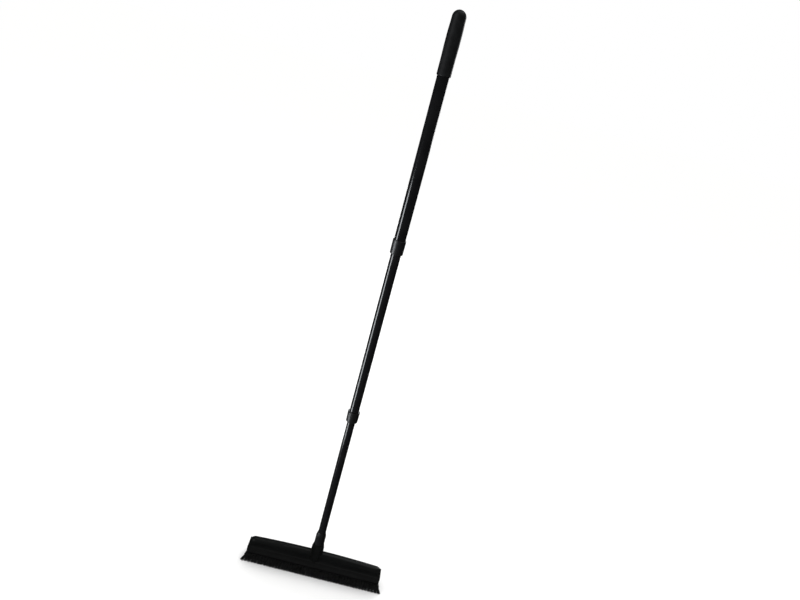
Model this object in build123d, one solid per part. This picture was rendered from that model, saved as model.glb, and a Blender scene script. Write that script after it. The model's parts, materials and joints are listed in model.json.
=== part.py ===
from build123d import *

import os
from collections import namedtuple
from math import copysign

# A snow brush with a scraper lip on a three-section telescopic pole, fully drawn out.
# Millimetres. +Z runs up the pole, the bristle tips stand on Z = 0, the head runs along X,
# and the scraper lip looks to the front, which is -Y. The pole's axis is the Z axis.

# ---------------------------------------------------------------- driving dimensions

TOTAL_HEIGHT = 1371.0

FIXED_GAP = 0.05        # radial gap between nested pieces that are fixed to each other
SLIDING_GAP = 0.1       # radial gap where one piece slides or turns in another
END_GAP = 0.3           # gap along the axis beside a piece that turns

# The pole: three steel tubes of one wall thickness
TUBE_WALL = 0.8
UPPER_TUBE_RADIUS = 12.5
MIDDLE_TUBE_RADIUS = 11.0
LOWER_TUBE_RADIUS = 9.5
TUBE_OVERLAP = 70.0     # how far a drawn-out tube still reaches into the next one

# The grip, a closed sleeve over the top of the pole
GRIP_LENGTH = 120.0
GRIP_DOME_RADIUS = 13.8
GRIP_SWELL_RADIUS = 14.65
GRIP_SWELL_LENGTH = 20.0
GRIP_SWELL_TOP = TOTAL_HEIGHT - 47.0
GRIP_WAIST_RADIUS = 14.25
GRIP_RIM_ROUND = 1.2
GRIP_END_THICKNESS = 16.0

# The collars on the lower ends of the upper and middle tubes
COLLAR_LIP = 4.0        # length of the guiding lip below the outer tube's end
COLLAR_TOP_CHAMFER = 1.2
COLLAR_BOTTOM_ROUND = 1.5
UPPER_COLLAR_BOTTOM = 885.0
UPPER_COLLAR_LENGTH = 32.0
UPPER_COLLAR_RADII = (14.1, 14.4)       # bottom, top
LOWER_COLLAR_BOTTOM = 464.0
LOWER_COLLAR_LENGTH = 27.0
LOWER_COLLAR_RADII = (13.5, 14.2)

# The twist locks: a plug in the end of the inner tube, with a journal off the pole's axis,
# and a split cam ring on that journal which grips the bore of the outer tube
PLUG_DEPTH = 25.0
PLUG_FLANGE = 4.0
LOCK_CAP = 3.0
CAM_SLOT = 3.0
UPPER_JOURNAL_RADIUS = 6.0
UPPER_ECCENTRICITY = 0.9
UPPER_CAM_HEIGHT = 12.4
LOWER_JOURNAL_RADIUS = 5.0
LOWER_ECCENTRICITY = 0.8
LOWER_CAM_HEIGHT = 11.4
LOCK_SCREW_RADIUS = 1.5
LOCK_SCREW_DEPTH = 12.0
LOCK_SCREW_HEAD_RADIUS = 3.0
LOCK_SCREW_HEAD = 2.2

# The threaded tip on the lower tube, and the insert that it screws into
TIP_TOP = 131.0
TIP_BOTTOM = 95.0
TIP_RADIUS = 12.0
TIP_LAND = 0.6          # width of the flat ring at the very top of the tip
TIP_TAPER = 8.0         # length of the cone that leads down from the tube
TIP_SOCKET_FLOOR = 104.0
TIP_CORE_LENGTH = 30.0
TIP_RIBS = 18
TIP_RIB_RADIUS = 0.7    # the ribs are half-round bars centred on the tip's surface
TIP_RIB_MARGIN = 2.5    # how far the ribs stop short of the tip's ends
THREAD_CREST = 10.0
THREAD_ROOT = 8.8
THREAD_PITCH = 4.0
THREAD_TURNS = 8
THREAD_GAP = 0.25
INSERT_RADIUS = 11.5
INSERT_TOP = 93.0
INSERT_FLANGE_RADIUS = 14.0
INSERT_FLANGE = 4.0

# The head shell: a hollow round-topped wall on a flange, with a socket boss in the middle
SHELL_BOTTOM = 36.0
SHELL_HALF_WIDTH = 174.0
SHELL_SHOULDER_HALF_WIDTH = 171.5
SHELL_SHOULDER = 62.5
SHELL_TOP = 68.5
SHELL_CORNER_RADIUS = 15.0
WALL_HALF_THICKNESS = 11.5
WALL_ROUND = 11.2
SHELL_SKIN = 3.0
FLANGE_FRONT = 16.0
FLANGE_BACK = 22.0
FLANGE_FRONT_TOP = 44.3
FLANGE_BACK_TOP = 41.0
COVE_TOP = 51.4
FLANGE_EDGE_ROUND = 2.0
BOSS_RADIUS = 15.7
BOSS_SHOULDER_RADIUS = 15.3
BOSS_RIM_RADIUS = 12.8
BOSS_WAIST = 76.0
BOSS_SHOULDER = 84.0
POST_RADIUS = 4.5

# The rubber scraper: a wedge along the front, whose tongue lies between shell and block
BLADE_HALF_LENGTH = 172.0
BLADE_TIP = 28.0
BLADE_TIP_TOP = 38.5
BLADE_TIP_BOTTOM = 36.6
BLADE_TONGUE_BACK = 7.0
BLADE_TONGUE = 3.0
BLADE_CORNER_RADIUS = 5.0
BLADE_EDGE_ROUND = 0.5

# The bristle block and its tufts
BLOCK_BOTTOM = 24.0
BLOCK_HALF_LENGTH = 173.5
BLOCK_FRONT = 17.0
BLOCK_BACK = 19.0
BLOCK_CORNER_RADIUS = 5.0
BLOCK_EDGE_ROUND = 1.5
TUFT_HOLE_DEPTH = 7.0
TUFT_ROOT_RADIUS = 1.9
TUFT_TIP_RADIUS = 3.4
TUFT_PITCH = 7.2
TUFTS_IN_LONG_ROW = 48
ROW_FRONTS = (13.0, 6.0, -1.0, -8.0, -15.0)     # how far each row stands in front of the axis
ROW_LEANS = (5.5, 2.7, 0.0, -2.7, -5.5)         # how far its tips lean out from its roots
ROW_SPLAYS = (11.3, 9.0, 6.5, 5.5, 5.0)         # how far its last tufts lean out along the head
SPLAY_POWER = 4         # how suddenly that splay comes in towards the ends

# The screws that hold the block to the shell
SCREW_STATIONS = (-144.0, -63.0, 63.0, 144.0)
SCREW_ROW_FRONT = -1.0
SCREW_RADIUS = 1.9
SCREW_CLEARANCE = 0.3
SCREW_HEAD_RADIUS = 4.0
SCREW_HEAD = 2.8
SCREW_SINK = 4.0
SCREW_TOP = 54.0
SCREW_KEEP_OUT = 7.0    # tufts nearer than this along X make room for a screw

# ---------------------------------------------------------------- worked-out heights

GRIP_BOTTOM = TOTAL_HEIGHT - GRIP_LENGTH
UPPER_TUBE_TOP = TOTAL_HEIGHT - GRIP_END_THICKNESS
UPPER_TUBE_BOTTOM = UPPER_COLLAR_BOTTOM + COLLAR_LIP
MIDDLE_TUBE_TOP = UPPER_TUBE_BOTTOM + TUBE_OVERLAP
MIDDLE_TUBE_BOTTOM = LOWER_COLLAR_BOTTOM + COLLAR_LIP
LOWER_TUBE_TOP = MIDDLE_TUBE_BOTTOM + TUBE_OVERLAP

BASE = (Align.CENTER, Align.CENTER, Align.MIN)


# ---------------------------------------------------------------- helpers

def rod(radius, bottom, top, x=0.0, front=0.0):
    """A round rod along Z between two heights, at x and at a distance in front of the axis."""
    return Pos(x, -front, bottom) * Cylinder(radius, top - bottom, align=BASE)


def tube(radius, bore, bottom, top):
    """A round tube about the pole's axis."""
    return rod(radius, bottom, top) - rod(bore, bottom, top)


def turned(*edges):
    """A solid turned about the pole's axis from a closed outline of (radius, height) edges."""
    return revolve(Plane.XZ * make_face(edges), Axis.Z)


def turned_points(*points):
    """A solid turned about the pole's axis from straight runs between (radius, height) points."""
    return turned(*Polyline(*points, close=True).edges())


def bar_along_head(half_length, *edges):
    """A bar along X from a closed outline of (distance in front of the axis, height) edges."""
    section_plane = Plane(origin=(0, 0, 0), x_dir=(0, -1, 0), z_dir=(-1, 0, 0))
    return extrude(section_plane * make_face(edges), half_length, both=True)


# ---------------------------------------------------------------- the pole

def make_grip():
    """A moulded sleeve with a domed end and a slight swell for the palm."""
    dome_height = TOTAL_HEIGHT - GRIP_DOME_RADIUS
    swell_bottom = GRIP_SWELL_TOP - GRIP_SWELL_LENGTH
    waist_height = swell_bottom - GRIP_SWELL_LENGTH
    outline = Polyline(
        (0, TOTAL_HEIGHT),
        (0, GRIP_BOTTOM),
        (GRIP_WAIST_RADIUS, GRIP_BOTTOM),
        (GRIP_WAIST_RADIUS, waist_height),
    ).edges()
    swell_in = Spline(
        (GRIP_WAIST_RADIUS, waist_height),
        (GRIP_SWELL_RADIUS, swell_bottom),
        tangents=((0, 1), (0, 1)),
    )
    swell = Line((GRIP_SWELL_RADIUS, swell_bottom), (GRIP_SWELL_RADIUS, GRIP_SWELL_TOP))
    swell_out = Spline(
        (GRIP_SWELL_RADIUS, GRIP_SWELL_TOP),
        (GRIP_DOME_RADIUS, dome_height),
        tangents=((0, 1), (0, 1)),
    )
    dome = JernArc((GRIP_DOME_RADIUS, dome_height), (0, 1), GRIP_DOME_RADIUS, 90)
    body = turned(*outline, swell_in, swell, swell_out, dome)
    rim = body.edges().filter_by(GeomType.CIRCLE).group_by(Axis.Z)[0]
    body = fillet(rim, GRIP_RIM_ROUND)
    return body - rod(UPPER_TUBE_RADIUS + FIXED_GAP, GRIP_BOTTOM, UPPER_TUBE_TOP + FIXED_GAP)


def make_tube(radius, bottom, top):
    """One section of the pole."""
    return tube(radius, radius - TUBE_WALL, bottom, top)


def make_collar(bottom, length, radii, outer_tube_radius, inner_tube_radius):
    """A sleeve on the outer tube's end, with a lip that guides the inner tube."""
    bottom_radius, top_radius = radii
    top = bottom + length
    body = turned_points(
        (inner_tube_radius + SLIDING_GAP, bottom),
        (bottom_radius, bottom),
        (top_radius, top - COLLAR_TOP_CHAMFER),
        (top_radius - COLLAR_TOP_CHAMFER, top),
        (outer_tube_radius + FIXED_GAP, top),
        (outer_tube_radius + FIXED_GAP, bottom + COLLAR_LIP),
        (inner_tube_radius + SLIDING_GAP, bottom + COLLAR_LIP),
    )
    rim = body.edges().filter_by(GeomType.CIRCLE).group_by(Axis.Z)[0].sort_by(SortBy.RADIUS)[-1]
    return fillet(rim, COLLAR_BOTTOM_ROUND)


# ---------------------------------------------------------------- the twist locks

Lock = namedtuple("Lock", "tube_top inner_radius outer_bore journal eccentricity cam_height")


def cam_bottom(lock):
    """The height at which a lock's cam ring starts."""
    return lock.tube_top + PLUG_FLANGE + END_GAP


def cap_bottom(lock):
    """The height at which a lock's end cap starts."""
    return cam_bottom(lock) + lock.cam_height + END_GAP


def make_plug(lock):
    """A plug fixed in the inner tube, with a flange above it and an off-centre journal."""
    flange_top = lock.tube_top + PLUG_FLANGE
    journal_top = cap_bottom(lock)
    inner_bore = lock.inner_radius - TUBE_WALL
    body = rod(inner_bore - FIXED_GAP, lock.tube_top - PLUG_DEPTH, lock.tube_top)
    body += rod(lock.outer_bore - SLIDING_GAP, lock.tube_top, flange_top)
    body += rod(lock.journal, flange_top, journal_top, front=lock.eccentricity)
    pilot_bottom = journal_top - LOCK_SCREW_DEPTH - FIXED_GAP
    pilot_radius = LOCK_SCREW_RADIUS + FIXED_GAP
    return body - rod(pilot_radius, pilot_bottom, journal_top, front=lock.eccentricity)


def make_cam(lock):
    """A split ring, thick in front and thin behind, whose off-centre bore the journal turns in."""
    bottom = cam_bottom(lock)
    top = bottom + lock.cam_height
    bore = lock.journal + 2 * lock.eccentricity + SLIDING_GAP
    ring = rod(lock.outer_bore - SLIDING_GAP, bottom, top)
    ring -= rod(bore, bottom, top, front=-lock.eccentricity)
    slot = Pos(0, lock.outer_bore / 2, bottom) * Box(
        CAM_SLOT, lock.outer_bore, lock.cam_height, align=(Align.CENTER, Align.MIN, Align.MIN)
    )
    return ring - slot


def make_lock_cap(lock):
    """The disc on the journal's end that keeps the cam ring on."""
    bottom = cap_bottom(lock)
    top = bottom + LOCK_CAP
    disc = rod(lock.outer_bore - SLIDING_GAP, bottom, top)
    return disc - rod(LOCK_SCREW_RADIUS + SLIDING_GAP, bottom, top, front=lock.eccentricity)


def cross_recess(x, front, bottom, top, length):
    """The two crossed slots of a screw's drive."""
    width = length / 4
    slots = Box(length, width, top - bottom, align=BASE) + Box(width, length, top - bottom, align=BASE)
    return Pos(x, -front, bottom) * slots


def make_lock_screw(lock):
    """The screw that holds the cap on the journal."""
    front = lock.eccentricity
    seat = cap_bottom(lock) + LOCK_CAP
    head_top = seat + LOCK_SCREW_HEAD
    half_head = LOCK_SCREW_HEAD / 2
    shank = rod(LOCK_SCREW_RADIUS, cap_bottom(lock) - LOCK_SCREW_DEPTH, seat, front=front)
    head = rod(LOCK_SCREW_HEAD_RADIUS, seat, head_top, front=front)
    head = fillet(head.edges().filter_by(GeomType.CIRCLE).sort_by(Axis.Z)[-1], half_head)
    return shank + head - cross_recess(0, front, seat + half_head, head_top, LOCK_SCREW_HEAD_RADIUS)


# ---------------------------------------------------------------- the screw joint of pole and head

def thread_points(root, crest, top):
    """Outline points down a thread that is drawn as rings, from its top."""
    quarter = THREAD_PITCH / 4
    points = []
    for turn in range(THREAD_TURNS):
        start = top - turn * THREAD_PITCH
        points += [
            (root, start),
            (root, start - quarter),
            (crest, start - 2 * quarter),
            (crest, start - 3 * quarter),
        ]
    points.append((root, top - THREAD_TURNS * THREAD_PITCH))
    return points


def make_threaded_tip():
    """The plastic tip: a ribbed sleeve and core that hold the lower tube, and the thread below."""
    bore = LOWER_TUBE_RADIUS + FIXED_GAP
    core = LOWER_TUBE_RADIUS - TUBE_WALL - FIXED_GAP
    thread_bottom = TIP_BOTTOM - THREAD_TURNS * THREAD_PITCH
    tip = turned_points(
        (0, TIP_SOCKET_FLOOR + TIP_CORE_LENGTH),
        (core, TIP_SOCKET_FLOOR + TIP_CORE_LENGTH),
        (core, TIP_SOCKET_FLOOR),
        (bore, TIP_SOCKET_FLOOR),
        (bore, TIP_TOP),
        (bore + TIP_LAND, TIP_TOP),
        (TIP_RADIUS, TIP_TOP - TIP_TAPER),
        (TIP_RADIUS, TIP_BOTTOM),
        *thread_points(THREAD_ROOT, THREAD_CREST, TIP_BOTTOM),
        (0, thread_bottom),
    )
    rib_bottom = TIP_BOTTOM + TIP_RIB_MARGIN
    rib_top = TIP_TOP - TIP_TAPER - TIP_RIB_MARGIN
    rib = rod(TIP_RIB_RADIUS, rib_bottom, rib_top, front=TIP_RADIUS)
    ribs = [Rot(0, 0, index * 360 / TIP_RIBS) * rib for index in range(TIP_RIBS)]
    return tip + ribs


def make_socket_insert():
    """The hard sleeve in the head that takes the tip's thread, with a closed, flanged foot."""
    thread_bottom = TIP_BOTTOM - THREAD_TURNS * THREAD_PITCH
    blank = rod(INSERT_RADIUS - FIXED_GAP, SHELL_BOTTOM, INSERT_TOP)
    foot = rod(INSERT_FLANGE_RADIUS, SHELL_BOTTOM, SHELL_BOTTOM + INSERT_FLANGE)
    thread_space = turned_points(
        (0, TIP_BOTTOM),
        *thread_points(THREAD_ROOT + THREAD_GAP, THREAD_CREST + THREAD_GAP, TIP_BOTTOM),
        (THREAD_ROOT + THREAD_GAP, thread_bottom - THREAD_GAP),
        (0, thread_bottom - THREAD_GAP),
    )
    return blank + foot - thread_space


# ---------------------------------------------------------------- the head

def shell_outline():
    """The shell's front view: drafted ends, rounded upper corners and a gently arched top."""
    ends = Polyline(
        (-SHELL_SHOULDER_HALF_WIDTH, SHELL_SHOULDER),
        (-SHELL_HALF_WIDTH, SHELL_BOTTOM),
        (SHELL_HALF_WIDTH, SHELL_BOTTOM),
        (SHELL_SHOULDER_HALF_WIDTH, SHELL_SHOULDER),
    )
    arch = ThreePointArc(
        (SHELL_SHOULDER_HALF_WIDTH, SHELL_SHOULDER),
        (0, SHELL_TOP),
        (-SHELL_SHOULDER_HALF_WIDTH, SHELL_SHOULDER),
    )
    face = make_face([*ends.edges(), arch])
    corners = face.vertices().group_by(Axis.Y)[-1]
    return fillet(corners, SHELL_CORNER_RADIUS)


def make_wall(outline, half_thickness, rounding):
    """A wall with that front view, rounded over along its ends and top."""
    wall = extrude(Plane.XZ * outline, half_thickness, both=True)
    flat_sides = wall.faces().filter_by(Axis.Y)
    upper_rims = [edge for side in flat_sides for edge in side.edges().sort_by(Axis.Z)[1:]]
    return fillet(upper_rims, rounding)


def make_flange():
    """The foot of the shell, which sweeps out from the wall in a cove on both sides."""
    wall = WALL_HALF_THICKNESS
    cove = FLANGE_FRONT - wall
    front_cove = TangentArc((wall, COVE_TOP), (FLANGE_FRONT, FLANGE_FRONT_TOP), tangent=(0, -1))
    back_cove = TangentArc((-wall, COVE_TOP), (-wall - cove, FLANGE_FRONT_TOP), tangent=(0, -1))
    rest = Polyline(
        (FLANGE_FRONT, FLANGE_FRONT_TOP),
        (FLANGE_FRONT, SHELL_BOTTOM),
        (-FLANGE_BACK, SHELL_BOTTOM),
        (-FLANGE_BACK, FLANGE_BACK_TOP),
        (-wall - cove, FLANGE_FRONT_TOP),
    )
    top = Line((-wall, COVE_TOP), (wall, COVE_TOP))
    bar = bar_along_head(SHELL_HALF_WIDTH, front_cove, *rest.edges(), back_cove, top)
    back_edge = bar.edges().filter_by(Axis.X).group_by(Axis.Y)[-1].sort_by(Axis.Z)[-1]
    bar = fillet(back_edge, FLANGE_EDGE_ROUND)
    ends = extrude(Plane.XZ * shell_outline(), 2 * FLANGE_BACK, both=True)
    return bar & ends


def make_boss():
    """The socket boss that rises through the wall and stands proud in front of it."""
    return turned_points(
        (0, SHELL_BOTTOM),
        (BOSS_RADIUS, SHELL_BOTTOM),
        (BOSS_RADIUS, BOSS_WAIST),
        (BOSS_SHOULDER_RADIUS, BOSS_SHOULDER),
        (BOSS_RIM_RADIUS, TIP_BOTTOM),
        (0, TIP_BOTTOM),
    )


def make_head_shell():
    """The moulded shell, hollow from below, with posts for the block's screws."""
    outside = make_wall(shell_outline(), WALL_HALF_THICKNESS, WALL_ROUND)
    cavity_outline = offset(shell_outline(), -SHELL_SKIN)
    cavity_reach = WALL_HALF_THICKNESS - SHELL_SKIN
    cavity = make_wall(cavity_outline, cavity_reach, WALL_ROUND - SHELL_SKIN)
    mouth_width = 2 * (SHELL_HALF_WIDTH - 2 * SHELL_SKIN)
    cavity += Pos(0, 0, SHELL_BOTTOM) * Box(mouth_width, 2 * cavity_reach, 2 * SHELL_SKIN, align=BASE)
    for station in SCREW_STATIONS:
        cavity -= rod(POST_RADIUS, SHELL_BOTTOM, SHELL_TOP, station, SCREW_ROW_FRONT)
    shell = outside + make_flange() - cavity + make_boss()
    shell -= rod(INSERT_RADIUS, SHELL_BOTTOM, TIP_BOTTOM)
    shell -= rod(INSERT_FLANGE_RADIUS + FIXED_GAP, SHELL_BOTTOM, SHELL_BOTTOM + INSERT_FLANGE + FIXED_GAP)
    for station in SCREW_STATIONS:
        pilot = SCREW_RADIUS + FIXED_GAP
        shell -= rod(pilot, SHELL_BOTTOM, SCREW_TOP + FIXED_GAP, station, SCREW_ROW_FRONT)
    rebate_depth = FLANGE_FRONT - BLADE_TONGUE_BACK + FIXED_GAP
    rebate = Pos(0, -FLANGE_FRONT, SHELL_BOTTOM) * Box(
        2 * SHELL_HALF_WIDTH,
        rebate_depth,
        BLADE_TONGUE + FIXED_GAP,
        align=(Align.CENTER, Align.MIN, Align.MIN),
    )
    return shell - rebate


def make_scraper_blade():
    """The rubber wedge, with a tongue that shell and block clamp between them."""
    outline = Polyline(
        (BLADE_TONGUE_BACK, SHELL_BOTTOM),
        (BLADE_TONGUE_BACK, SHELL_BOTTOM + BLADE_TONGUE),
        (FLANGE_FRONT + FIXED_GAP, SHELL_BOTTOM + BLADE_TONGUE),
        (FLANGE_FRONT + FIXED_GAP, FLANGE_FRONT_TOP),
        (BLADE_TIP, BLADE_TIP_TOP),
        (BLADE_TIP, BLADE_TIP_BOTTOM),
        (BLOCK_FRONT, SHELL_BOTTOM),
        close=True,
    )
    blade = bar_along_head(BLADE_HALF_LENGTH, *outline.edges())
    plan_corners = blade.edges().filter_by(Axis.Z).group_by(Axis.Y)[0]
    blade = fillet(plan_corners, BLADE_CORNER_RADIUS)
    tip_edges = blade.edges().filter_by(Axis.X).group_by(Axis.Y)[0]
    blade = fillet(tip_edges, BLADE_EDGE_ROUND)
    insert_clearance = INSERT_FLANGE_RADIUS + FIXED_GAP
    return blade - rod(insert_clearance, SHELL_BOTTOM, SHELL_BOTTOM + INSERT_FLANGE)


# ---------------------------------------------------------------- the bristles

def row_stations(row):
    """The places along X of one row's tufts. Every second row is staggered by half a pitch."""
    count = TUFTS_IN_LONG_ROW - row % 2
    first = -(count - 1) * TUFT_PITCH / 2
    stations = [first + index * TUFT_PITCH for index in range(count)]
    if ROW_FRONTS[row] != SCREW_ROW_FRONT:
        return stations
    return [x for x in stations if min(abs(x - s) for s in SCREW_STATIONS) > SCREW_KEEP_OUT]


def is_corner(row, x):
    """Whether a tuft is the last one of the front or the back row."""
    last = (TUFTS_IN_LONG_ROW - 1) * TUFT_PITCH / 2
    return row in (0, len(ROW_FRONTS) - 1) and abs(x) > last - TUFT_PITCH / 2


def make_tuft(row, x):
    """One tuft: a round root in its hole, spreading out and leaning to its trimmed tips."""
    front = ROW_FRONTS[row]
    furthest = (TUFTS_IN_LONG_ROW - 1) * TUFT_PITCH / 2
    splay = copysign(ROW_SPLAYS[row] * (abs(x) / furthest) ** SPLAY_POWER, x)
    root_section = Pos(x, -front, BLOCK_BOTTOM) * Circle(TUFT_ROOT_RADIUS)
    tip_section = Pos(x + splay, -front - ROW_LEANS[row], 0) * Circle(TUFT_TIP_RADIUS)
    spread = loft([tip_section, root_section], ruled=True)
    root_top = BLOCK_BOTTOM + TUFT_HOLE_DEPTH - FIXED_GAP
    return spread + rod(TUFT_ROOT_RADIUS, BLOCK_BOTTOM, root_top, x, front)


def make_row(row):
    """All tufts of one row but those at the head's corners, as separate solids."""
    return [make_tuft(row, x) for x in row_stations(row) if not is_corner(row, x)]


def make_corner_tufts():
    """The four tufts at the corners of the head, as separate solids."""
    rows = range(len(ROW_FRONTS))
    return [make_tuft(row, x) for row in rows for x in row_stations(row) if is_corner(row, x)]


def make_bristle_block():
    """The block that holds the tufts in blind holes and is screwed up under the shell."""
    depth = BLOCK_FRONT + BLOCK_BACK
    middle = (BLOCK_BACK - BLOCK_FRONT) / 2
    plan = Pos(0, middle) * RectangleRounded(2 * BLOCK_HALF_LENGTH, depth, BLOCK_CORNER_RADIUS)
    block = extrude(Pos(0, 0, BLOCK_BOTTOM) * plan, SHELL_BOTTOM - BLOCK_BOTTOM)
    block = fillet(block.edges().group_by(Axis.Z)[0], BLOCK_EDGE_ROUND)
    hole_top = BLOCK_BOTTOM + TUFT_HOLE_DEPTH
    cuts = [
        rod(TUFT_ROOT_RADIUS + SLIDING_GAP, BLOCK_BOTTOM, hole_top, x, ROW_FRONTS[row])
        for row in range(len(ROW_FRONTS))
        for x in row_stations(row)
    ]
    for station in SCREW_STATIONS:
        sink_radius = SCREW_HEAD_RADIUS + SCREW_CLEARANCE
        shank_hole = SCREW_RADIUS + SCREW_CLEARANCE
        cuts.append(rod(sink_radius, BLOCK_BOTTOM, BLOCK_BOTTOM + SCREW_SINK, station, SCREW_ROW_FRONT))
        cuts.append(rod(shank_hole, BLOCK_BOTTOM, SHELL_BOTTOM, station, SCREW_ROW_FRONT))
    return block - cuts


def make_block_screw(station):
    """One screw, with its head sunk in the block's underside."""
    seat = BLOCK_BOTTOM + SCREW_SINK
    head_bottom = seat - SCREW_HEAD
    half_head = SCREW_HEAD / 2
    shank = rod(SCREW_RADIUS, seat, SCREW_TOP, station, SCREW_ROW_FRONT)
    head = rod(SCREW_HEAD_RADIUS, head_bottom, seat, station, SCREW_ROW_FRONT)
    head = fillet(head.edges().filter_by(GeomType.CIRCLE).sort_by(Axis.Z)[0], half_head)
    drive = cross_recess(station, SCREW_ROW_FRONT, head_bottom, seat - half_head, SCREW_HEAD_RADIUS)
    return shank + head - drive


# ---------------------------------------------------------------- writing the nodes

def write(node, shape):
    """Write one node: a solid, or a list of separate solids."""
    if isinstance(shape, list):
        shape = Compound(children=[piece.solid() for piece in shape])
    export_step(shape, f"parts/{node}.step")


os.makedirs("parts", exist_ok=True)

upper_lock = Lock(
    tube_top=MIDDLE_TUBE_TOP,
    inner_radius=MIDDLE_TUBE_RADIUS,
    outer_bore=UPPER_TUBE_RADIUS - TUBE_WALL,
    journal=UPPER_JOURNAL_RADIUS,
    eccentricity=UPPER_ECCENTRICITY,
    cam_height=UPPER_CAM_HEIGHT,
)
lower_lock = Lock(
    tube_top=LOWER_TUBE_TOP,
    inner_radius=LOWER_TUBE_RADIUS,
    outer_bore=MIDDLE_TUBE_RADIUS - TUBE_WALL,
    journal=LOWER_JOURNAL_RADIUS,
    eccentricity=LOWER_ECCENTRICITY,
    cam_height=LOWER_CAM_HEIGHT,
)

write("grip", make_grip())
write("upper_tube", make_tube(UPPER_TUBE_RADIUS, UPPER_TUBE_BOTTOM, UPPER_TUBE_TOP))
write("middle_tube", make_tube(MIDDLE_TUBE_RADIUS, MIDDLE_TUBE_BOTTOM, MIDDLE_TUBE_TOP))
write("lower_tube", make_tube(LOWER_TUBE_RADIUS, TIP_SOCKET_FLOOR, LOWER_TUBE_TOP))
write(
    "upper_collar",
    make_collar(
        UPPER_COLLAR_BOTTOM, UPPER_COLLAR_LENGTH, UPPER_COLLAR_RADII, UPPER_TUBE_RADIUS, MIDDLE_TUBE_RADIUS
    ),
)
write(
    "lower_collar",
    make_collar(
        LOWER_COLLAR_BOTTOM, LOWER_COLLAR_LENGTH, LOWER_COLLAR_RADII, MIDDLE_TUBE_RADIUS, LOWER_TUBE_RADIUS
    ),
)
for name, lock in (("upper", upper_lock), ("lower", lower_lock)):
    write(f"{name}_lock_plug", make_plug(lock))
    write(f"{name}_lock_cam", make_cam(lock))
    write(f"{name}_lock_cap", make_lock_cap(lock))
    write(f"{name}_lock_screw", make_lock_screw(lock))
write("threaded_tip", make_threaded_tip())
write("socket_insert", make_socket_insert())
write("head_shell", make_head_shell())
write("scraper_blade", make_scraper_blade())
write("bristle_block", make_bristle_block())
write("block_screws", [make_block_screw(station) for station in SCREW_STATIONS])
for row in range(len(ROW_FRONTS)):
    write(f"bristle_row_{row + 1}", make_row(row))
write("corner_tufts", make_corner_tufts())
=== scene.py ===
import json
import math
import random

import bmesh
import bpy
from mathutils import Matrix, Vector


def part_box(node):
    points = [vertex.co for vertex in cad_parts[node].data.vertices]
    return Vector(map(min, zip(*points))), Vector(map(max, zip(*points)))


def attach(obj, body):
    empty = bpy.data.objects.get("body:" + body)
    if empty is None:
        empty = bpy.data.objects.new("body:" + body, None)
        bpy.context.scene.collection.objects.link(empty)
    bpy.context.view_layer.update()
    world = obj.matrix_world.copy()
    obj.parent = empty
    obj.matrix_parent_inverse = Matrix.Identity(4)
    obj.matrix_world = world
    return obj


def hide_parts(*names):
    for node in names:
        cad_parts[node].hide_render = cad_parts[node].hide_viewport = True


# The look of a telescopic snow brush: finishes for its hard pieces, bristles made of single
# filaments, a pale floor and soft light. Metres; +Z runs up the pole and -Y is the front.

MM = 0.001

# ---------------------------------------------------------------- camera and light

CAMERA_PLACE = Vector((-0.0087, -1.3155, 1.2814))
CAMERA_AIM = Vector((0.0338, 0.0, 0.7868))
CAMERA_ROLL = math.radians(15.44)
CAMERA_LENS = 29.25     # millimetres, on a sensor 36 mm wide
SENSOR_WIDTH = 36.0
CAMERA_CLIP = 0.05

FLOOR_SIZE = 60.0
FLOOR_COLOUR = (0.85, 0.85, 0.845, 1.0)
FLOOR_GLOW = 0.15               # what the floor adds to the surround's light that it sends back
SURROUND_COLOUR = (1.0, 1.0, 1.0, 1.0)
SURROUND_STRENGTH = 1.0

# Two tall strips whose reflections are the bright lines down the tubes, one in front on the left
# and one behind; bearings go round from the front towards the left
STRIP_BEARING = math.radians(66.0)
BACK_STRIP_BEARING = math.radians(180.0)
STRIP_DISTANCE = 0.62
STRIP_WIDTH = 0.2
STRIP_BOTTOM = 0.0
STRIP_TOP = 0.92
STRIP_POWER = 6.6
BACK_STRIP_POWER = 4.0
STRIP_COLOUR = (0.93, 0.97, 1.0)
TUBE_NODES = ["upper_tube", "middle_tube", "lower_tube"]
POLE_NODES = [*TUBE_NODES, "grip", "upper_collar", "lower_collar", "threaded_tip"]

# The soft boxes
LEFT_PLACE = (-2.4, -1.6, 2.6)
LEFT_SIZE = 1.6
LEFT_POWER = 14.0
BACK_PLACE = (1.5, 2.6, 1.4)
BACK_SIZE = 1.4
BACK_POWER = 22.0
TOP_PLACE = (0.4, 0.6, 3.4)
TOP_SIZE = 2.4
TOP_POWER = 12.0

# ---------------------------------------------------------------- bristles

FILAMENTS_PER_TUFT = 110
FILAMENT_RADIUS = 0.24 * MM
FILAMENT_SIDES = 3
FILAMENT_RINGS = 4
TIP_SPREAD = 1.2                # how far the tips reach, as a share of the tuft's own tip circle
TIP_JITTER = 1.1 * MM
TRIM_SPREAD = 1.6 * MM          # how unevenly the tips are cut
BOW = 0.8 * MM                  # how far a filament bows between root and tip
GOLDEN_ANGLE = math.pi * (3.0 - math.sqrt(5.0))
WELD = 0.005 * MM
BRISTLE_NODES = [f"bristle_row_{row}" for row in range(1, 6)] + ["corner_tufts"]


# ---------------------------------------------------------------- material building blocks

# Noise seldom leaves this range, so colours and roughness are spread over it
NOISE_LOW = 0.3
NOISE_HIGH = 0.7


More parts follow.
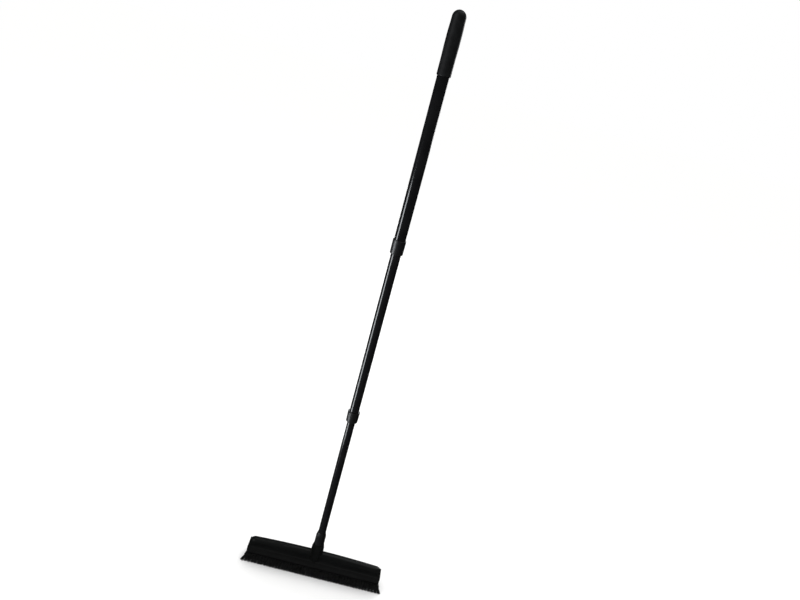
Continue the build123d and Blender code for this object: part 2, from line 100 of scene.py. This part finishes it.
class Finish:
    """A material under construction, with its principled shader and object-space noise."""

    def __init__(self, name, roughness, metallic=0.0, specular=0.5):
        self.material = bpy.data.materials.new(name)
        self.material.use_nodes = True
        tree = self.material.node_tree
        self.nodes = tree.nodes
        self.links = tree.links
        self.shader = next(n for n in self.nodes if n.type == "BSDF_PRINCIPLED")
        self.shader.inputs["Roughness"].default_value = roughness
        self.shader.inputs["Metallic"].default_value = metallic
        self.shader.inputs["Specular IOR Level"].default_value = specular
        self.coordinates = self.nodes.new("ShaderNodeTexCoord")
        self.last_normal = None

    def noise(self, size, detail=2.0, stretch=(1.0, 1.0, 1.0)):
        """Noise with features of about that size, in metres, drawn out by stretch along each axis."""
        mapping = self.nodes.new("ShaderNodeMapping")
        mapping.inputs["Scale"].default_value = [1.0 / (size * s) for s in stretch]
        self.links.new(self.coordinates.outputs["Object"], mapping.inputs["Vector"])
        texture = self.nodes.new("ShaderNodeTexNoise")
        texture.inputs["Scale"].default_value = 1.0
        texture.inputs["Detail"].default_value = detail
        self.links.new(mapping.outputs["Vector"], texture.inputs["Vector"])
        return texture.outputs["Fac"]

    def between(self, factor, low, high):
        """A number that follows factor from low to high."""
        spread = self.nodes.new("ShaderNodeMapRange")
        spread.inputs["From Min"].default_value = NOISE_LOW
        spread.inputs["From Max"].default_value = NOISE_HIGH
        spread.inputs["To Min"].default_value = low
        spread.inputs["To Max"].default_value = high
        self.links.new(factor, spread.inputs["Value"])
        return spread.outputs["Result"]

    def colour(self, factor, dark, light):
        """Base colour that follows factor from dark to light."""
        ramp = self.nodes.new("ShaderNodeValToRGB")
        ramp.color_ramp.elements[0].position = NOISE_LOW
        ramp.color_ramp.elements[0].color = (*dark, 1.0)
        ramp.color_ramp.elements[1].position = NOISE_HIGH
        ramp.color_ramp.elements[1].color = (*light, 1.0)
        self.links.new(factor, ramp.inputs["Fac"])
        self.links.new(ramp.outputs["Color"], self.shader.inputs["Base Color"])

    def roughness(self, factor, low, high):
        """Roughness that follows factor from low to high."""
        self.links.new(self.between(factor, low, high), self.shader.inputs["Roughness"])

    def bump(self, factor, height, strength=1.0):
        """Relief of that height, in metres, over any relief that is already there."""
        bump = self.nodes.new("ShaderNodeBump")
        bump.inputs["Distance"].default_value = height
        bump.inputs["Strength"].default_value = strength
        self.links.new(factor, bump.inputs["Height"])
        if self.last_normal is not None:
            self.links.new(self.last_normal, bump.inputs["Normal"])
        self.links.new(bump.outputs["Normal"], self.shader.inputs["Normal"])
        self.last_normal = bump.outputs["Normal"]


def pole_paint():
    """Gloss black enamel on tube: slight orange peel, and fine marks along the tube."""
    finish = Finish("pole_paint", roughness=0.16)
    marks = finish.noise(0.8 * MM, detail=4.0, stretch=(1.0, 1.0, 90.0))
    finish.colour(finish.noise(30 * MM), (0.0040, 0.0040, 0.0045), (0.0058, 0.0058, 0.0064))
    finish.roughness(marks, 0.12, 0.22)
    finish.bump(finish.noise(2.2 * MM), 0.02 * MM, strength=0.5)
    return finish.material


def grip_plastic():
    """Soft matte plastic with a fine moulded grain."""
    finish = Finish("grip_plastic", roughness=0.5, specular=0.4)
    finish.colour(finish.noise(12 * MM, detail=4.0), (0.0042, 0.0045, 0.0053), (0.0066, 0.0070, 0.0082))
    finish.roughness(finish.noise(6 * MM, detail=4.0), 0.44, 0.56)
    finish.bump(finish.noise(0.45 * MM), 0.03 * MM, strength=0.5)
    return finish.material


def collar_plastic():
    """Smooth plastic with a satin shine."""
    finish = Finish("collar_plastic", roughness=0.4)
    finish.colour(finish.noise(9 * MM, detail=4.0), (0.0042, 0.0044, 0.0049), (0.0062, 0.0064, 0.0070))
    finish.roughness(finish.noise(3 * MM, detail=4.0), 0.36, 0.45)
    finish.bump(finish.noise(0.7 * MM), 0.012 * MM, strength=0.5)
    return finish.material


def tip_plastic():
    """Hard moulded plastic, slightly duller than the collars."""
    finish = Finish("tip_plastic", roughness=0.38)
    finish.colour(finish.noise(5 * MM, detail=4.0), (0.0036, 0.0036, 0.0041), (0.0062, 0.0062, 0.0068))
    finish.roughness(finish.noise(2 * MM, detail=4.0), 0.34, 0.45)
    finish.bump(finish.noise(0.6 * MM), 0.02 * MM, strength=0.5)
    return finish.material


def head_plastic():
    """Moulded plastic of the head, with a light eroded texture and faint flow marks."""
    finish = Finish("head_plastic", roughness=0.34, specular=0.35)
    flow = finish.noise(7 * MM, detail=5.0, stretch=(9.0, 1.0, 1.0))
    finish.colour(flow, (0.0034, 0.0038, 0.0037), (0.0056, 0.0061, 0.0060))
    finish.roughness(finish.noise(4 * MM, detail=5.0), 0.29, 0.4)
    finish.bump(finish.noise(0.5 * MM), 0.025 * MM, strength=0.5)
    return finish.material


def block_plastic():
    """Plain plastic of the bristle block."""
    finish = Finish("block_plastic", roughness=0.55, specular=0.35)
    finish.colour(finish.noise(8 * MM, detail=3.0), (0.0024, 0.0024, 0.0024), (0.0040, 0.0040, 0.0040))
    finish.bump(finish.noise(0.6 * MM), 0.02 * MM, strength=0.4)
    return finish.material


def scraper_rubber():
    """Dull rubber with a faint bloom and lengthwise rubbing marks."""
    finish = Finish("scraper_rubber", roughness=0.6, specular=0.25)
    bloom = finish.noise(10 * MM, detail=6.0, stretch=(5.0, 1.0, 1.0))
    finish.colour(bloom, (0.0018, 0.0020, 0.0020), (0.0034, 0.0037, 0.0037))
    finish.roughness(finish.noise(1.5 * MM, detail=4.0, stretch=(14.0, 1.0, 1.0)), 0.5, 0.7)
    finish.bump(finish.noise(0.9 * MM, detail=3.0), 0.02 * MM, strength=0.4)
    return finish.material


def bristle_nylon():
    """Black filament, each strand a little lighter or darker than the next."""
    finish = Finish("bristle_nylon", roughness=0.42, specular=0.4)
    strands = finish.noise(0.9 * MM, detail=1.0, stretch=(1.0, 1.0, 12.0))
    finish.colour(strands, (0.0060, 0.0064, 0.0064), (0.0180, 0.0188, 0.0188))
    finish.roughness(finish.noise(2 * MM, detail=2.0), 0.36, 0.5)
    return finish.material


def lock_plastic():
    """Undyed nylon of the locks inside the tubes."""
    finish = Finish("lock_plastic", roughness=0.4)
    finish.colour(finish.noise(4 * MM, detail=4.0), (0.55, 0.54, 0.5), (0.63, 0.62, 0.59))
    finish.bump(finish.noise(0.5 * MM), 0.01 * MM, strength=0.4)
    return finish.material


def screw_steel():
    """Zinc-plated steel with turning marks."""
    finish = Finish("screw_steel", roughness=0.3, metallic=1.0)
    finish.colour(finish.noise(1.5 * MM, detail=3.0), (0.5, 0.5, 0.52), (0.62, 0.62, 0.64))
    turning = finish.noise(0.3 * MM, detail=2.0, stretch=(6.0, 6.0, 1.0))
    finish.roughness(turning, 0.24, 0.4)
    finish.bump(turning, 0.01 * MM, strength=0.4)
    return finish.material


# ---------------------------------------------------------------- bristles

def solids_of(node):
    """The corner points of each separate solid in a CAD node, as lists of vectors."""
    mesh = bmesh.new()
    mesh.from_mesh(frame["nodes"][node].data)
    bmesh.ops.remove_doubles(mesh, verts=mesh.verts, dist=WELD)
    seen = set()
    solids = []
    for start in mesh.verts:
        if start in seen:
            continue
        seen.add(start)
        island = [start]
        for vertex in island:
            for edge in vertex.link_edges:
                other = edge.other_vert(vertex)
                if other not in seen:
                    seen.add(other)
                    island.append(other)
        solids.append([v.co.copy() for v in island])
    mesh.free()
    return solids


def end_circle(points, height):
    """Centre and radius of a tuft's round section at that height."""
    ring = [p for p in points if abs(p.z - height) < WELD]
    centre = sum(ring, Vector()) / len(ring)
    return centre, max((p - centre).length for p in ring)


def add_filament(points, faces, root, tip, rng):
    """One bristle: a thin three-sided rod from root to tip, slightly bowed, with a flat cut end."""
    lean = rng.uniform(0.0, 2.0 * math.pi)
    bow = Vector((math.cos(lean), math.sin(lean), 0.0)) * rng.uniform(0.0, BOW)
    turn = rng.uniform(0.0, 2.0 * math.pi)
    first = len(points)
    for step in range(FILAMENT_RINGS):
        along = step / (FILAMENT_RINGS - 1)
        centre = root.lerp(tip, along) + bow * math.sin(math.pi * along)
        for side in range(FILAMENT_SIDES):
            angle = turn + side * 2.0 * math.pi / FILAMENT_SIDES
            points.append(centre + Vector((math.cos(angle), math.sin(angle), 0.0)) * FILAMENT_RADIUS)
    for step in range(FILAMENT_RINGS - 1):
        upper = first + step * FILAMENT_SIDES
        lower = upper + FILAMENT_SIDES
        for side in range(FILAMENT_SIDES):
            after = (side + 1) % FILAMENT_SIDES
            faces.append((upper + side, lower + side, lower + after, upper + after))
    last = len(points) - FILAMENT_SIDES
    faces.append(tuple(range(first, first + FILAMENT_SIDES)))
    faces.append(tuple(reversed(range(last, last + FILAMENT_SIDES))))


def add_tuft(points, faces, corners, block_bottom, rng):
    """The filaments of one tuft, spread evenly over its root and its wider tip."""
    tip_centre, tip_radius = end_circle(corners, min(p.z for p in corners))
    root_centre, root_radius = end_circle(corners, max(p.z for p in corners))
    tip_reach = tip_radius * TIP_SPREAD - FILAMENT_RADIUS
    root_reach = root_radius - FILAMENT_RADIUS
    phase = rng.uniform(0.0, 2.0 * math.pi)
    for index in range(FILAMENTS_PER_TUFT):
        share = math.sqrt((index + 0.5) / FILAMENTS_PER_TUFT)
        angle = phase + index * GOLDEN_ANGLE
        spoke = Vector((math.cos(angle), math.sin(angle), 0.0)) * share
        root = root_centre + spoke * root_reach
        root.z = block_bottom + FILAMENT_RADIUS
        tip = tip_centre + spoke * tip_reach
        tip += Vector((rng.uniform(-1, 1), rng.uniform(-1, 1), 0.0)) * TIP_JITTER
        tip.z = rng.uniform(0.0, TRIM_SPREAD) ** 2 / TRIM_SPREAD
        add_filament(points, faces, root, tip, rng)


def make_bristles(node, material, seed):
    """The filaments of all tufts in a CAD node, as one piece that stands for it."""
    rng = random.Random(seed)
    points = []
    faces = []
    block_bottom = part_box("bristle_block")[0][2]
    for corners in solids_of(node):
        add_tuft(points, faces, corners, block_bottom, rng)
    data = bpy.data.meshes.new(f"{node}_filaments")
    data.from_pydata(points, [], faces)
    data.materials.append(material)
    piece = bpy.data.objects.new(f"{node}_filaments", data)
    bpy.context.scene.collection.objects.link(piece)
    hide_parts(node)
    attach(piece, "lower_section")


# ---------------------------------------------------------------- surroundings

def make_floor():
    """A pale floor under the bristle tips, lit from within so that it fades into the surround."""
    half = FLOOR_SIZE / 2
    data = bpy.data.meshes.new("floor")
    corners = [(-half, -half, 0), (half, -half, 0), (half, half, 0), (-half, half, 0)]
    data.from_pydata(corners, [], [(0, 1, 2, 3)])
    finish = Finish("floor", roughness=0.9, specular=0.0)
    finish.shader.inputs["Base Color"].default_value = FLOOR_COLOUR
    finish.shader.inputs["Emission Color"].default_value = SURROUND_COLOUR
    finish.shader.inputs["Emission Strength"].default_value = FLOOR_GLOW
    data.materials.append(finish.material)
    floor = bpy.data.objects.new("floor", data)
    bpy.context.scene.collection.objects.link(floor)
    floor.visible_glossy = False


def make_surround():
    """An even white surrounding light, kept out of reflections in the black gloss."""
    world = bpy.data.worlds.new("surround")
    world.use_nodes = True
    background = world.node_tree.nodes["Background"]
    background.inputs["Color"].default_value = SURROUND_COLOUR
    background.inputs["Strength"].default_value = SURROUND_STRENGTH
    world.cycles_visibility.glossy = False
    bpy.context.scene.world = world


def area_light(name, place, aim, width, height, power, colour=(1.0, 1.0, 1.0)):
    """A soft rectangular light that faces its aim with its height upright."""
    data = bpy.data.lights.new(name, "AREA")
    data.shape = "RECTANGLE"
    data.size = width
    data.size_y = height
    data.energy = power
    data.color = colour
    light = bpy.data.objects.new(name, data)
    light.location = place
    light.rotation_euler = (Vector(aim) - Vector(place)).to_track_quat("-Z", "Y").to_euler()
    light.visible_camera = False
    bpy.context.scene.collection.objects.link(light)
    return light


def pole_strip(name, bearing, power):
    """A tall narrow light beside the pole, which reflects it as a bright line."""
    middle = (STRIP_BOTTOM + STRIP_TOP) / 2
    place = (-STRIP_DISTANCE * math.sin(bearing), -STRIP_DISTANCE * math.cos(bearing), middle)
    height = STRIP_TOP - STRIP_BOTTOM
    strip = area_light(name, place, (0.0, 0.0, middle), STRIP_WIDTH, height, power, STRIP_COLOUR)
    receivers = bpy.data.collections.new(f"lit_by_{name}")
    for node in POLE_NODES:
        receivers.objects.link(frame["nodes"][node])
    strip.light_linking.receiver_collection = receivers


def make_lights():
    """Soft light from the left, above and behind, and the strips that the pole reflects."""
    pole_strip("strip", STRIP_BEARING, STRIP_POWER)
    pole_strip("back_strip", BACK_STRIP_BEARING, BACK_STRIP_POWER)
    pole_middle = (0.0, 0.0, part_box("grip")[1][2] / 2)
    area_light("left_softbox", LEFT_PLACE, pole_middle, LEFT_SIZE, LEFT_SIZE, LEFT_POWER)
    area_light("back_softbox", BACK_PLACE, pole_middle, BACK_SIZE, BACK_SIZE, BACK_POWER)
    area_light("top_softbox", TOP_PLACE, pole_middle, TOP_SIZE, TOP_SIZE, TOP_POWER)


def make_camera():
    """The camera, rolled so that the upright brush leans to the right in the picture."""
    data = bpy.data.cameras.new("camera")
    data.lens = CAMERA_LENS
    data.sensor_width = SENSOR_WIDTH
    data.clip_start = CAMERA_CLIP
    data.clip_end = 2 * FLOOR_SIZE
    camera = bpy.data.objects.new("camera", data)
    facing = (CAMERA_AIM - CAMERA_PLACE).to_track_quat("-Z", "Y").to_matrix().to_4x4()
    roll = Matrix.Rotation(CAMERA_ROLL, 4, "Z")
    camera.matrix_world = Matrix.Translation(CAMERA_PLACE) @ facing @ roll
    bpy.context.scene.collection.objects.link(camera)
    bpy.context.scene.camera = camera


# ---------------------------------------------------------------- the scene

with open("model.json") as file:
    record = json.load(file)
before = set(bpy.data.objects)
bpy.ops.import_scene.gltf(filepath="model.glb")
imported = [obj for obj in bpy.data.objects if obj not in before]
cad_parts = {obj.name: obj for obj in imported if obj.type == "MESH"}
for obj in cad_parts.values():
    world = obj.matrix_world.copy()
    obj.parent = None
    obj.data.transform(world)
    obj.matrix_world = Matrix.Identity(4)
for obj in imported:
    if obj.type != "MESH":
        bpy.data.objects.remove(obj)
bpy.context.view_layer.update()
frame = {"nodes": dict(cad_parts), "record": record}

make_camera()

FINISHES = {
    "pole_paint": pole_paint(),
    "grip_plastic": grip_plastic(),
    "collar_plastic": collar_plastic(),
    "tip_plastic": tip_plastic(),
    "head_plastic": head_plastic(),
    "block_plastic": block_plastic(),
    "scraper_rubber": scraper_rubber(),
    "bristle_nylon": bristle_nylon(),
    "lock_plastic": lock_plastic(),
    "screw_steel": screw_steel(),
}
for subpart in frame["record"]["subparts"]:
    for material_slot in frame["nodes"][subpart["node"]].material_slots:
        material_slot.material = FINISHES[subpart["material_slot"]]

for seed, node in enumerate(BRISTLE_NODES):
    make_bristles(node, FINISHES["bristle_nylon"], seed)

make_floor()
make_surround()
make_lights()
bpy.context.scene.view_settings.view_transform = "Standard"
